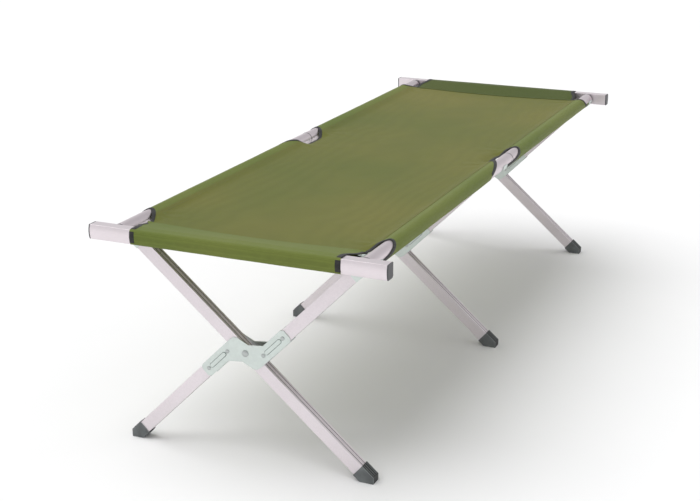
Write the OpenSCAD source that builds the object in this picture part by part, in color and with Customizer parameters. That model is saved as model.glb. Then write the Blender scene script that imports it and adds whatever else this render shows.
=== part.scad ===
// Folding cot: a fabric bed on two side rails, three scissor leg sets and two pull-off end bars.
// X is the width, Y the length with the foot end at -Y, and Z is up from the floor.

/* [Overall] */
// Length over the end bars
length = 1900; // [1700:2100]
// Height of the rail centres above the floor
rail_z = 523; // [380:600]
// Distance of each rail centre from the centre line
rail_x = 305; // [250:380]
// Length of each end bar without its caps
bar_len = 730; // [500:900]

/* [Rails] */
// Outside radius of a rail tube
rail_r = 17; // [12:0.5:22]
// Wall of a rail tube
rail_wall = 1.5; // [1:0.1:3]
// Gap between a rail end and the inner face of an end bar
rail_gap = 1.6; // [0.5:0.1:4]
// Collar of a rail end plug that shows past the tube
plug_collar = 5; // [2:0.5:10]
// Where the folding joint splits the rails along the length
seam_y = 56; // [-100:100]
// Gap between the two rail halves at the folding joint
seam_gap = 0.8; // [0.2:0.1:3]

/* [End bars] */
// Depth of an end bar along the length
bar_d = 29; // [20:0.5:40]
// Height of an end bar
bar_h = 34; // [20:0.5:40]
// Wall of an end bar
bar_wall = 1.8; // [1:0.1:3]
// Chamfer on the lower inner edge of an end bar
bar_chamfer = 4; // [1:0.5:8]
// Thickness of an end cap past the bar
cap_t = 3; // [1:0.5:6]
// Radius of a bar stud
stud_r = 4; // [2:0.5:6]
// Reach of a bar stud past the bar
stud_len = 15; // [8:30]

/* [Legs] */
// Leg width, across the crossing
leg_w = 30; // [20:0.5:40]
// Leg depth, along the cot
leg_d = 25; // [16:0.5:35]
// Wall of a leg tube
leg_wall = 1.8; // [1:0.1:3]
// Height of the crossing pivots
pivot_z = 266; // [180:320]
// Angle of the continuous legs above the floor
leg_angle = 40.9; // [35:50]
// Distance of the end crossings from the middle of the cot
cross_y = 888; // [700:930]
// Where the middle crossing stands along the cot
mid_y = -18; // [-120:60]
// Angle of the split legs above the floor
split_angle = 45; // [35:55]
// Offset of each half of a split leg from the pivot
split_off = 31; // [24:0.5:40]
// Distance from the pivot to the cut end of each half of a split leg
split_start = 22; // [18:50]
// Distance from a rail centre to the top end of a leg
leg_top_gap = 22; // [18:40]
// Height of a leg's cut end above the floor
leg_foot_gap = 14; // [12:30]

/* [Crossing plates] */
// Sheet thickness of the plates and brackets
sheet_t = 2; // [1:0.1:3]
// Running gap beside a turning leg
run_gap = 0.15; // [0.05:0.05:0.5]
// Reach of a plate arm from the pivot
arm_len = 119; // [80:160]
// Width of a plate arm
arm_w = 34; // [28:0.5:44]
// Radius of a crossing pivot rivet
pivot_r = 4; // [2.5:0.1:6]
// Radius of a plate rivet
rivet_r = 2.5; // [1.5:0.1:4]
// Radial clearance of the crossing pivots
pivot_fit = 0.05; // [0.01:0.01:0.1]

/* [Feet] */
// Wall of a rubber boot
boot_wall = 2; // [1:0.1:4]
// Where the outer end of a foot stands
foot_x = 315; // [260:360]

/* [Fabric] */
// Thickness of a side or end sleeve
sleeve_t = 1.2; // [0.6:0.1:3]
// Thickness of the panel
panel_t = 2; // [1:0.1:4]
// Height of the top of the panel
panel_z = 529; // [400:600]
// Where the side sleeves end near the foot bar
sleeve_end_y = 788; // [600:900]
// Where the side sleeves end near the head bar
sleeve_head_y = 822; // [600:900]
// Reach of the cut-out from the folding joint towards the foot end
cut_foot = 94; // [60:160]
// Reach of the cut-out from the folding joint towards the head end
cut_head = 78; // [60:160]
// Half the width of the end sleeves
end_sleeve_half = 259; // [150:320]

/* [Hidden] */
$fn = 64;
bar_in = length / 2 - bar_d;
rail_end = bar_in - rail_gap;
leg_up = rail_x * cos(leg_angle) + (rail_z - pivot_z) * sin(leg_angle) - leg_top_gap;
leg_down = pivot_z / sin(leg_angle) - leg_foot_gap / sin(leg_angle);
split_s = (rail_z - pivot_z + split_off * cos(split_angle)) / sin(split_angle);
split_x = split_s * cos(split_angle) + split_off * sin(split_angle);
split_up = split_s - leg_top_gap;
split_down = (pivot_z + split_off * cos(split_angle) - leg_foot_gap) / sin(split_angle);
plate_y = leg_d / 2 + run_gap;
slot_len = stud_len - rail_gap + 1.5;
slot_w = 2 * stud_r + 1.4;
slot_turn = 90 - atan((rail_z - pivot_z) / rail_x);
joint_core_r = rail_r - rail_wall - 0.02;
joint_pin_in = 14;
joint_reach = 60;
joint_pin_r = 3;
fork_gap = 10;
fork_depth = 21;
tongue_h = 22;
plug_len = 34;
saddle_top = 2;
bracket_reach = 30;
bracket_rivet_in = 15;
CHANNEL = [46, 92];
channel_w = 9;
channel_h = 1.4;
boot_from = 365;
bar_bulge_r = 46;
cap_plug = 16;
soft_gap = 0.5;
CROSS = [-cross_y, mid_y, cross_y];
RIVET_S = [34, 104];
ALU = [0.82, 0.80, 0.82];
STEEL = [0.76, 0.80, 0.78];
DARK = [0.22, 0.23, 0.24];
GREEN = [0.42, 0.45, 0.27];

// Places a flat shape drawn in the XZ plane of a crossing, t thick and centred on its plane.
module in_plane(t) {
    rotate([90, 0, 0]) translate([0, 0, -t / 2]) linear_extrude(t) children();
}

// Stands the children at the pivot of one crossing.
module at_cross(i) {
    translate([0, CROSS[i], pivot_z]) children();
}

// Turns the children so that +X runs up the continuous leg, or up the split leg.
module along_leg() { rotate([0, -(180 - leg_angle), 0]) children(); }
module along_split() { rotate([0, -split_angle, 0]) children(); }

// A leg profile from a to b along X: a box tube with a grooved face on each narrow side.
module leg_tube(a, b, depth) {
    translate([a, 0, 0]) rotate([90, 0, 90]) linear_extrude(b - a) difference() {
        square([depth, leg_w], center = true);
        square([depth - 2 * leg_wall, leg_w - 2 * leg_wall], center = true);
        for (side = [-1, 1], row = [-1, 0, 1])
            translate([row * 5.6, side * leg_w / 2]) square([2.2, 1.8], center = true);
    }
}

// A straight hole along Y at a point of a leg.
module cross_hole(x, z, r) {
    translate([x, 0, z]) rotate([90, 0, 0]) cylinder(h = 60, r = r, center = true);
}

// A rivet along Y from y = -reach to +reach, with a domed head at each end.
module rivet(r, reach, head_r, head_t) {
    rotate([90, 0, 0]) rotate_extrude() polygon([[0, -reach - head_t], [head_r * 0.55, -reach - head_t],
        [head_r, -reach - head_t * 0.4], [head_r, -reach], [r, -reach], [r, reach], [head_r, reach],
        [head_r, reach + head_t * 0.4], [head_r * 0.55, reach + head_t], [0, reach + head_t]]);
}

// ---- rails; side is -1 for the left one and 1 for the right one ----

module along_rail(side, y) { translate([side * rail_x, y, rail_z]) rotate([-90, 0, 0]) children(); }

module rail_tube(side, a, b) {
    along_rail(side, a) difference() {
        cylinder(h = b - a, r = rail_r);
        translate([0, 0, -1]) cylinder(h = b - a + 2, r = rail_r - rail_wall);
    }
}

// The room that a bar stud needs in a rail end, open on the outer lower side where it leaves.
module stud_slot(side, end) {
    translate([side * rail_x, end * (rail_end - slot_len / 2 + 1), rail_z])
        rotate([0, side > 0 ? slot_turn : 180 - slot_turn, 0])
            translate([rail_r - slot_w / 2, 0, 0]) cube([2 * rail_r, slot_len + 2, slot_w], center = true);
}

module pin_hole(side) {
    translate([side * rail_x, seam_y - joint_pin_in, rail_z]) rotate([0, 90, 0])
        cylinder(h = 60, r = joint_pin_r + 0.03, center = true);
}

module rail_foot(side) {
    color(ALU) difference() {
        rail_tube(side, -rail_end + plug_collar, seam_y - seam_gap / 2);
        pin_hole(side);
        stud_slot(side, -1);
    }
}

module rail_head(side) {
    color(ALU) difference() {
        rail_tube(side, seam_y + seam_gap / 2, rail_end - plug_collar);
        stud_slot(side, 1);
    }
}

// The fork sits in the foot half and the tongue in the head half, and the pin lies across the rail.
module joint_fork(side) {
    color(STEEL) difference() {
        along_rail(side, seam_y - joint_reach) cylinder(h = joint_reach - seam_gap / 2, r = joint_core_r);
        translate([side * rail_x, seam_y, rail_z])
            cube([fork_gap, 2 * fork_depth, 3 * rail_r], center = true);
        pin_hole(side);
    }
}

module joint_tongue(side) {
    color(STEEL) difference() {
        union() {
            along_rail(side, seam_y + seam_gap / 2) cylinder(h = joint_reach, r = joint_core_r);
            translate([side * rail_x, seam_y - fork_depth / 2 + 1.5, rail_z])
                cube([fork_gap - 0.2, fork_depth, tongue_h], center = true);
        }
        pin_hole(side);
    }
}

module joint_pin(side) {
    color(STEEL) translate([side * rail_x, seam_y - joint_pin_in, rail_z]) rotate([0, 90, 0])
        cylinder(h = 2 * (rail_r - 1), r = joint_pin_r, center = true);
}

module rail_plug(side, end) {
    color(DARK) difference() {
        union() {
            along_rail(side, end * (rail_end - plug_collar / 2))
                cylinder(h = plug_collar, r = rail_r - 0.6, center = true);
            along_rail(side, end * (rail_end - plug_len / 2))
                cylinder(h = plug_len, r = joint_core_r, center = true);
        }
        stud_slot(side, end);
    }
}

// ---- leg-top brackets: two cheeks beside the leg and a saddle under the rail ----

module under_rail(side) {
    difference() {
        children();
        translate([side * rail_x, rail_z - pivot_z]) circle(r = rail_r + 0.02);
        translate([side * rail_x, rail_z - pivot_z + saddle_top + 50]) square([100, 100], center = true);
    }
}

module leg_top_shape(side, from_end, wide) {
    if (side < 0) rotate(180 - leg_angle) translate([leg_up - from_end, -wide / 2])
        square([from_end + leg_top_gap, wide]);
    else rotate(split_angle) translate([split_up - from_end, -split_off - wide / 2])
        square([from_end + leg_top_gap, wide]);
}

module leg_bracket(side, i) {
    color(STEEL) at_cross(i) difference() {
        union() {
            for (face = [-1, 1]) translate([0, face * (plate_y + sheet_t / 2), 0])
                in_plane(sheet_t) under_rail(side) {
                    union() {
                        leg_top_shape(side, bracket_reach, leg_w + 2);
                        translate([side * rail_x, rail_z - pivot_z]) circle(r = rail_r + 3);
                    }
                }
            in_plane(2 * (plate_y + sheet_t)) under_rail(side)
                translate([side * rail_x, rail_z - pivot_z]) circle(r = rail_r + sheet_t);
        }
        bracket_rivet_at(side) cross_hole(0, 0, rivet_r + 0.02);
    }
}

module bracket_rivet_at(side) {
    if (side < 0) along_leg() translate([leg_up - bracket_rivet_in, 0, 0]) children();
    else along_split() translate([split_up - bracket_rivet_in, 0, -split_off]) children();
}

module bracket_rivets(side) {
    color(STEEL) for (i = [0:2]) at_cross(i) bracket_rivet_at(side)
        rivet(rivet_r, plate_y + sheet_t, 5, 2);
}

// ---- legs ----

module leg(i) {
    color(ALU) at_cross(i) difference() {
        along_leg() leg_tube(-leg_down, leg_up, leg_d);
        cross_hole(0, 0, pivot_r + pivot_fit);
        bracket_rivet_at(-1) cross_hole(0, 0, rivet_r + 0.02);
    }
}

module split_leg_upper(i) {
    color(ALU) at_cross(i) difference() {
        along_split() translate([0, 0, -split_off]) leg_tube(split_start, split_up, 2 * plate_y);
        along_split() for (s = RIVET_S) cross_hole(s, -split_off, rivet_r + 0.02);
        bracket_rivet_at(1) cross_hole(0, 0, rivet_r + 0.02);
    }
}

module split_leg_lower(i) {
    color(ALU) at_cross(i) difference() {
        along_split() translate([0, 0, split_off]) leg_tube(-split_down, -split_start, 2 * plate_y);
        along_split() for (s = RIVET_S) cross_hole(-s, split_off, rivet_r + 0.02);
    }
}

// ---- crossing plates ----

module arm_half() {
    inner = split_off - arm_w / 2;
    outer = split_off + arm_w / 2;
    polygon([[-21, -9], [-11, -outer + 9], [-4, -outer + 2], [8, -outer], [arm_len - 6, -outer],
        [arm_len, -outer + 6], [arm_len, -inner - 6], [arm_len - 6, -inner], [50, -inner],
        [21, 9], [0, 0]]);
}

module crossing_plate(i, face) {
    color(STEEL) at_cross(i) difference() {
        union() {
            translate([0, face * (plate_y + sheet_t / 2), 0]) in_plane(sheet_t) rotate(split_angle)
                for (turn = [0, 180]) rotate(turn) arm_half();
            translate([0, face * (plate_y + sheet_t + channel_h / 2), 0]) in_plane(channel_h)
                rotate(split_angle) for (turn = [0, 180]) rotate(turn) channel();
        }
        cross_hole(0, 0, pivot_r + pivot_fit);
        along_split() for (s = RIVET_S, turn = [-1, 1])
            cross_hole(turn * s, -turn * split_off, rivet_r + 0.02);
    }
}

// The pressed channel that stiffens one arm.
module channel() {
    translate([CHANNEL[0], -split_off - channel_w / 2]) square([CHANNEL[1] - CHANNEL[0], channel_w]);
    for (s = CHANNEL) translate([s, -split_off]) circle(r = channel_w / 2);
}

module plate_rivets() {
    color(STEEL) for (i = [0:2]) at_cross(i) along_split() for (s = RIVET_S, turn = [-1, 1])
        translate([turn * s, 0, -turn * split_off]) rivet(rivet_r, plate_y + sheet_t, 5, 2);
}

module pivot_rivets() {
    color(STEEL) for (i = [0:2]) at_cross(i) rivet(pivot_r, plate_y + sheet_t + run_gap, 8, 3);
}

// ---- boots ----

// The outline of a foot: the leg's width run down to the floor and cut off upright at its outer end.
module foot_outline(side) {
    intersection() {
        if (side > 0) rotate(180 - leg_angle) translate([-leg_down - 60, -leg_w / 2 - boot_wall])
            square([60 + leg_down - boot_from, leg_w + 2 * boot_wall]);
        else rotate(split_angle) translate([-split_down - 60, split_off - leg_w / 2 - boot_wall])
            square([60 + split_down - boot_from, leg_w + 2 * boot_wall]);
        translate([side > 0 ? 0 : -foot_x, -pivot_z]) square([foot_x, 200]);
    }
}

module boot(side, i) {
    color(DARK) at_cross(i) difference() {
        in_plane(leg_d + 2 * boot_wall + 2 * run_gap) foot_outline(side);
        if (side > 0) along_leg() translate([-leg_down, -leg_d / 2, -leg_w / 2])
            cube([100, leg_d, leg_w]);
        else along_split() translate([-split_down, -plate_y, split_off - leg_w / 2])
            cube([100, 2 * plate_y, leg_w]);
    }
}

// ---- end bars; end is -1 at the foot and 1 at the head ----

// The bar's solid section, made smaller all round by inset.
module bar_solid(end, half_len, inset) {
    translate([0, end * (length / 2 - bar_d / 2), rail_z + rail_r - bar_h / 2]) scale([1, end, 1]) intersection() {
        rotate([90, 0, 90]) translate([0, 0, -half_len]) linear_extrude(2 * half_len)
            polygon([[-bar_d / 2 + inset, bar_h / 2 - inset], [-bar_d / 2 + inset, -bar_h / 2 + bar_chamfer],
                [-bar_d / 2 + bar_chamfer, -bar_h / 2 + inset], [bar_d / 2 - inset, -bar_h / 2 + inset],
                [bar_d / 2 - inset, bar_h / 2 - inset]]);
        translate([0, bar_d / 2 - bar_bulge_r, 0]) rotate([0, 90, 0])
            cylinder(h = 2 * half_len + 2, r = bar_bulge_r - inset, center = true, $fn = 128);
    }
}

module end_bar(end) {
    color(ALU) difference() {
        bar_solid(end, bar_len / 2, 0);
        bar_solid(end, bar_len / 2 + 1, bar_wall);
        for (side = [-1, 1]) stud_place(side, end)
            cylinder(h = 2 * bar_wall + 2, r = stud_r, center = true);
    }
}

module stud_place(side, end) { translate([side * rail_x, end * bar_in, rail_z]) rotate([90, 0, 0]) children(); }

// A stud with a flange against the inside of the bar's wall and a rounded tip.
module bar_studs(end) {
    color(STEEL) for (side = [-1, 1]) stud_place(side, end) scale([1, 1, end]) rotate_extrude()
        polygon([[0, -bar_wall - 3], [stud_r + 4, -bar_wall - 3], [stud_r + 4, -bar_wall],
            [stud_r, -bar_wall], [stud_r, stud_len - 1.5], [stud_r - 1.5, stud_len], [0, stud_len]]);
}

module bar_caps(end) {
    color(DARK) for (side = [-1, 1]) union() {
        intersection() {
            bar_solid(end, bar_len / 2 + cap_t, 0);
            translate([side * (bar_len / 2 + cap_t / 2), 0, 0]) cube([cap_t, 2 * length, 2 * length], center = true);
        }
        intersection() {
            bar_solid(end, bar_len / 2 + cap_t / 2, bar_wall + 0.02);
            translate([side * (bar_len / 2 - cap_plug / 2 + 1), 0, 0])
                cube([cap_plug + 2, 2 * length, 2 * length], center = true);
        }
    }
}

// ---- fabric ----

module fabric_panel() {
    wide = 2 * (rail_x - rail_r - sleeve_t - soft_gap);
    color(GREEN) translate([0, 0, panel_z - panel_t / 2])
        cube([wide, 2 * (bar_in - sleeve_t - soft_gap), panel_t], center = true);
}

module side_sleeve(side, a, b) {
    color(GREEN) along_rail(side, a) difference() {
        cylinder(h = b - a, r = rail_r + sleeve_t);
        translate([0, 0, -1]) cylinder(h = b - a + 2, r = rail_r + 0.02);
    }
}

module end_sleeve(end) {
    color(GREEN) difference() {
        bar_solid(end, end_sleeve_half, -sleeve_t);
        bar_solid(end, end_sleeve_half + 1, -0.02);
    }
}

rail_foot(-1);  // left_rail_foot
rail_head(-1);  // left_rail_head
joint_fork(-1);  // left_joint_fork
joint_tongue(-1);  // left_joint_tongue
joint_pin(-1);  // left_joint_pin
rail_plug(-1, -1);  // left_plug_foot
rail_plug(-1, 1);  // left_plug_head
rail_foot(1);  // right_rail_foot
rail_head(1);  // right_rail_head
joint_fork(1);  // right_joint_fork
joint_tongue(1);  // right_joint_tongue
joint_pin(1);  // right_joint_pin
rail_plug(1, -1);  // right_plug_foot
rail_plug(1, 1);  // right_plug_head
leg_bracket(-1, 0);  // left_bracket_foot
leg_bracket(-1, 1);  // left_bracket_mid
leg_bracket(-1, 2);  // left_bracket_head
leg_bracket(1, 0);  // right_bracket_foot
leg_bracket(1, 1);  // right_bracket_mid
leg_bracket(1, 2);  // right_bracket_head
bracket_rivets(-1);  // left_bracket_rivets
bracket_rivets(1);  // right_bracket_rivets
leg(0);  // leg_foot
leg(1);  // leg_mid
leg(2);  // leg_head
split_leg_upper(0);  // split_leg_upper_foot
split_leg_upper(1);  // split_leg_upper_mid
split_leg_upper(2);  // split_leg_upper_head
split_leg_lower(0);  // split_leg_lower_foot
split_leg_lower(1);  // split_leg_lower_mid
split_leg_lower(2);  // split_leg_lower_head
crossing_plate(0, -1);  // front_plate_foot
crossing_plate(1, -1);  // front_plate_mid
crossing_plate(2, -1);  // front_plate_head
crossing_plate(0, 1);  // rear_plate_foot
crossing_plate(1, 1);  // rear_plate_mid
crossing_plate(2, 1);  // rear_plate_head
plate_rivets();
pivot_rivets();
boot(1, 0);  // right_boot_foot
boot(1, 1);  // right_boot_mid
boot(1, 2);  // right_boot_head
boot(-1, 0);  // left_boot_foot
boot(-1, 1);  // left_boot_mid
boot(-1, 2);  // left_boot_head
end_bar(-1);  // foot_bar
end_bar(1);  // head_bar
bar_caps(-1);  // foot_bar_caps
bar_caps(1);  // head_bar_caps
bar_studs(-1);  // foot_bar_studs
bar_studs(1);  // head_bar_studs
fabric_panel();
side_sleeve(-1, -sleeve_end_y, seam_y - cut_foot);  // left_sleeve_foot
side_sleeve(-1, seam_y + cut_head, sleeve_head_y);  // left_sleeve_head
side_sleeve(1, -sleeve_end_y, seam_y - cut_foot);  // right_sleeve_foot
side_sleeve(1, seam_y + cut_head, sleeve_head_y);  // right_sleeve_head
end_sleeve(-1);  // foot_end_sleeve
end_sleeve(1);  // head_end_sleeve
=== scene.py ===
"""The folding cot's looks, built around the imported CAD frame: the fabric bed with its bindings and stitching,
the fine details of rails, plates and boots, and every finish. Metres, in the frame's own axes: X is the
width, Y the length from foot (-) to head (+), Z up."""
import itertools
import math

import bmesh
import bpy
from mathutils import Matrix, Vector, noise


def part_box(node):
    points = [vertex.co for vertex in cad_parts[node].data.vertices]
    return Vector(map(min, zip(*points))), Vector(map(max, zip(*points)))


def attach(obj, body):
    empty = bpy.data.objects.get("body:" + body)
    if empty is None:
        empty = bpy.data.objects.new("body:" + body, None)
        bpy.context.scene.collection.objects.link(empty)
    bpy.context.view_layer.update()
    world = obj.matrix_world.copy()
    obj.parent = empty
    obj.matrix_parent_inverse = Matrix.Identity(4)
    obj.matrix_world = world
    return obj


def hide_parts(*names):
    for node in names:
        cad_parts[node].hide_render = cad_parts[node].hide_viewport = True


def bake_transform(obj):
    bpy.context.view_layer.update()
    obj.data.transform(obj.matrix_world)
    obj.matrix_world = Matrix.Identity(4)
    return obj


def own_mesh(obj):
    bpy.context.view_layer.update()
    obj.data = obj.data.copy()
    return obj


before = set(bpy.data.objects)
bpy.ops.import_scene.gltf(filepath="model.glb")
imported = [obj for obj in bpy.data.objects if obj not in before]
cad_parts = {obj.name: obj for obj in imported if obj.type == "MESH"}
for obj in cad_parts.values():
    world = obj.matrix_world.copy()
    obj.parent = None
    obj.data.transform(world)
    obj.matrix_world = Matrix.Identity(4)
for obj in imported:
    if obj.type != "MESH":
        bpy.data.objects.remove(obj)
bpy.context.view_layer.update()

# ---- sizes read from the frame ----
rail_lo, rail_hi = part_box("right_rail_foot")
RAIL_R = (rail_hi.x - rail_lo.x) / 2
RAIL_X = (rail_hi.x + rail_lo.x) / 2
RAIL_Z = (rail_hi.z + rail_lo.z) / 2
CUT_FOOT_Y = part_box("right_sleeve_foot")[1].y
CUT_HEAD_SHIFT = 0.007
CUT_HEAD_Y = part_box("right_sleeve_head")[0].y - CUT_HEAD_SHIFT
SLEEVE_FOOT_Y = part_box("right_sleeve_foot")[0].y
SLEEVE_HEAD_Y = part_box("right_sleeve_head")[1].y
BRACKET_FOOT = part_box("right_bracket_foot")
BRACKET_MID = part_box("right_bracket_mid")
BRACKET_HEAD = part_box("right_bracket_head")
PANEL_LO, PANEL_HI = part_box("fabric_panel")
BAR_LO, BAR_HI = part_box("head_bar")
END_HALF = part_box("head_end_sleeve")[1].x
FOOT_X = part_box("right_boot_foot")[1].x
STATIONS = {name: sum(c.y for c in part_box(f"leg_{name}")) / 2 for name in ("foot", "mid", "head")}
SIDES = {-1: "left_frame", 1: "right_frame"}
ENDS = {-1: "foot_end_bar", 1: "head_end_bar"}

# ---- fabric: CLOTH is its thickness and LAYER the rise of a second layer ----
CLOTH = 0.0009
LAYER = 0.0011
# the side sleeve leaves the panel's edge on a slope, meets the rail LEAVE before its top, wraps it WRAP_TO
# past its top and runs back inward under it
SLEEVE_R = RAIL_R + 0.0002 + CLOTH / 2
LEAVE = math.radians(18)
WRAP_TO = math.radians(222)
TAIL_UNDER = 0.026
EDGE_X = RAIL_X - RAIL_R - 0.0018
LEAVE_X = RAIL_X - SLEEVE_R * math.sin(LEAVE)
LEAVE_Z = RAIL_Z + SLEEVE_R * math.cos(LEAVE)
SLOPE_LEN = (LEAVE_X - EDGE_X) / math.cos(LEAVE)
RING_LEN = SLEEVE_R * (LEAVE + WRAP_TO)
AROUND_LEN = SLOPE_LEN + RING_LEN + TAIL_UNDER
PANEL_Z = (PANEL_LO.z + PANEL_HI.z) / 2
SAG = 0.005
SEAM_Y = 0.85
BAR_IN = BAR_LO.y
BAR_GAP = 0.0007
TOP_Z = BAR_HI.z + BAR_GAP
FLUSH_Y = BAR_IN - 0.0005
END_SLOPE = (TOP_Z - LAYER - PANEL_Z) / (FLUSH_Y - SEAM_Y)
LAP = 0.018
# how far the panel's free edge hangs along the middle cut-outs and, past CORNER_Y, the corner ones
DROOP = 0.0065
CORNER_DROOP = 0.004
CORNER_Y = 0.5
DROOP_FROM = 0.235
# cut-outs, by metres outward from the panel's edge: NOTCH_D on the panel, NOTCH_TOP on top of the rail and
# NOTCH_OUT beyond it, with the lengths of their rounded ends on either side of the top
NOTCH_D = -0.013
NOTCH_OUT = SLOPE_LEN + SLEEVE_R * (LEAVE + math.radians(97))
NOTCH_TOP = SLOPE_LEN + SLEEVE_R * LEAVE
NOTCH_INNER_LEN = 0.07
NOTCH_OUTER_LEN = 0.085
HEAD_INNER_LEN = 0.042
HEAD_OUTER_LEN = 0.03
BRACKET_GAP = 0.002
STRIP_FROM = NOTCH_TOP + SLEEVE_R * math.radians(135)
STRIP_TO = NOTCH_TOP + SLEEVE_R * math.radians(185)
SLANT_Y = CUT_FOOT_Y + 0.023
BULGE_R = 0.046
BAR_LIP = 0.009
PANEL_PAST_SEAM = 0.03
PANEL_TAPER = 0.6
BLEND_END = 0.26
TAPE_SECTION = [(-0.0007, 0.0), (-0.0004, 0.0009), (0.0007, 0.0014), (0.004, 0.00145), (0.0078, 0.0014),
                (0.0088, 0.0010), (0.0088, -0.0003), (0.0007, -0.0004), (-0.0005, -0.0003)]
BAR_TAPE_SHORT = 0.036
BAR_TAPE_WIDER = 0.35
STITCH_PITCH, STITCH_LEN, STITCH_W, STITCH_H = 0.0048, 0.0033, 0.0006, 0.00035
SIDE_STITCHES = (-0.0025, -0.0105)
END_STITCHES = (0.003, 0.011)
END_STITCH_HALF = 0.262

# ---- metal and rubber details ----
PIVOT_Z = 0.266
LEG_ANGLE = math.radians(40.9)
SPLIT_ANGLE = math.radians(45)
SPLIT_OFF = 0.031
GROOVE_OFF = 0.0056
# half the width of the painted shade along each outer leg groove
GROOVE_SHADE_HALF = 0.0013
PLATE_FACE = 0.01465
CHANNEL_R = 0.0045
CHANNEL_ENDS = (0.046, 0.092)
# a ring of painted shade round each plate channel: how far it reaches inside and outside the channel's edge,
# and its rise
PLATE_SHADE_IN, PLATE_SHADE_OUT, PLATE_SHADE_LIFT = 0.0004, 0.0012, 0.0003
BOOT_HALF = 0.017
BOOT_FROM = 0.366
BOOT_SIDE_HALF = 0.0125
# half the width of the painted highlight along each boot edge
BOOT_HIGHLIGHT_HALF = 0.001
RIB_PITCH = 0.0078
RIB_HALF = 0.0011
RIB_SINK, RIB_HEIGHT = 0.0003, 0.0008
RIB_END_GAP = 0.002
BOX_QUADS = [(0, 1, 2, 3), (4, 5, 6, 7), (0, 1, 5, 4), (1, 2, 6, 5), (2, 3, 7, 6), (3, 0, 4, 7)]


# ---- node helpers ----
class Nodes:
    """A material's node tree, with short calls to add and link nodes."""

    def __init__(self, name):
        self.material = bpy.data.materials.new(name)
        self.material.use_nodes = True
        self.tree = self.material.node_tree
        self.tree.nodes.clear()
        self.out = self.add("ShaderNodeOutputMaterial")
        self.shader = self.add("ShaderNodeBsdfPrincipled")
        self.link(self.shader, "BSDF", self.out, "Surface")
        self.place = self.add("ShaderNodeTexCoord")

    def add(self, kind, **settings):
        node = self.tree.nodes.new(kind)
        for key, value in settings.items():
            setattr(node, key, value)
        return node

    def link(self, a, output, b, socket):
        self.tree.links.new(a.outputs[output], b.inputs[socket])

    def set(self, **values):
        for key, value in values.items():
            self.shader.inputs[key.replace("_", " ")].default_value = value

    def scaled(self, scale=(1, 1, 1)):
        mapping = self.add("ShaderNodeMapping")
        mapping.inputs["Scale"].default_value = scale
        self.link(self.place, "Object", mapping, "Vector")
        return mapping

    def noise(self, scale, detail=3.0, stretch=(1, 1, 1), rough=0.5):
        texture = self.add("ShaderNodeTexNoise")
        texture.inputs["Scale"].default_value = scale
        texture.inputs["Detail"].default_value = detail
        texture.inputs["Roughness"].default_value = rough
        self.link(self.scaled(stretch), "Vector", texture, "Vector")
        return texture

    def wave(self, direction, scale):
        texture = self.add("ShaderNodeTexWave", bands_direction=direction)
        texture.inputs["Scale"].default_value = scale
        texture.inputs["Distortion"].default_value = 0.0
        self.link(self.scaled(), "Vector", texture, "Vector")
        return texture

    def math(self, operation, a, b):
        node = self.add("ShaderNodeMath", operation=operation)
        for i, value in enumerate((a, b)):
            if isinstance(value, (int, float)):
                node.inputs[i].default_value = value
            else:
                self.tree.links.new(value, node.inputs[i])
        return node.outputs[0]

    def ramp(self, value, stops):
        node = self.add("ShaderNodeValToRGB")
        while len(node.color_ramp.elements) < len(stops):
            node.color_ramp.elements.new(0.5)
        for element, (at, colour) in zip(node.color_ramp.elements, stops):
            element.position = at
            element.color = (*colour, 1)
        self.tree.links.new(value, node.inputs["Fac"])
        return node.outputs["Color"]

    def mix(self, factor, a, b, blend="MIX"):
        node = self.add("ShaderNodeMix", data_type="RGBA", blend_type=blend)
        for socket, value in (("Factor", factor), ("A", a), ("B", b)):
            target = [s for s in node.inputs if s.name == socket and s.enabled][0]
            if isinstance(value, (int, float)):
                target.default_value = value
            elif isinstance(value, tuple):
                target.default_value = (*value, 1)
            else:
                self.tree.links.new(value, target)
        return [s for s in node.outputs if s.enabled][0]

    def off_centre(self, centre):
        """How far a point lies from the plane Y = centre."""
        split = self.add("ShaderNodeSeparateXYZ")
        self.link(self.place, "Object", split, "Vector")
        return self.math("ABSOLUTE", self.math("SUBTRACT", split.outputs["Y"], centre), 0.0)

    def band(self, value, middle, half):
        """1 where value is within half of middle, else 0."""
        off = self.math("ABSOLUTE", self.math("SUBTRACT", value, middle), 0.0)
        return self.math("LESS_THAN", off, half)

    def colour(self, output):
        self.tree.links.new(output, self.shader.inputs["Base Color"])

    def rough(self, value, low, high):
        """Roughness from low to high as value goes from 0 to 1."""
        node = self.add("ShaderNodeMapRange")
        node.inputs["To Min"].default_value = low
        node.inputs["To Max"].default_value = high
        self.tree.links.new(value, node.inputs["Value"])
        self.tree.links.new(node.outputs["Result"], self.shader.inputs["Roughness"])

    def bump(self, height, strength, distance, edge=0.0):
        """Relief from height, on corners rounded to the radius edge."""
        node = self.add("ShaderNodeBump")
        node.inputs["Strength"].default_value = strength
        node.inputs["Distance"].default_value = distance
        self.tree.links.new(height, node.inputs["Height"])
        if edge:
            bevel = self.add("ShaderNodeBevel", samples=4)
            bevel.inputs["Radius"].default_value = edge
            self.link(bevel, "Normal", node, "Normal")
        self.link(node, "Normal", self.shader, "Normal")


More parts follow.
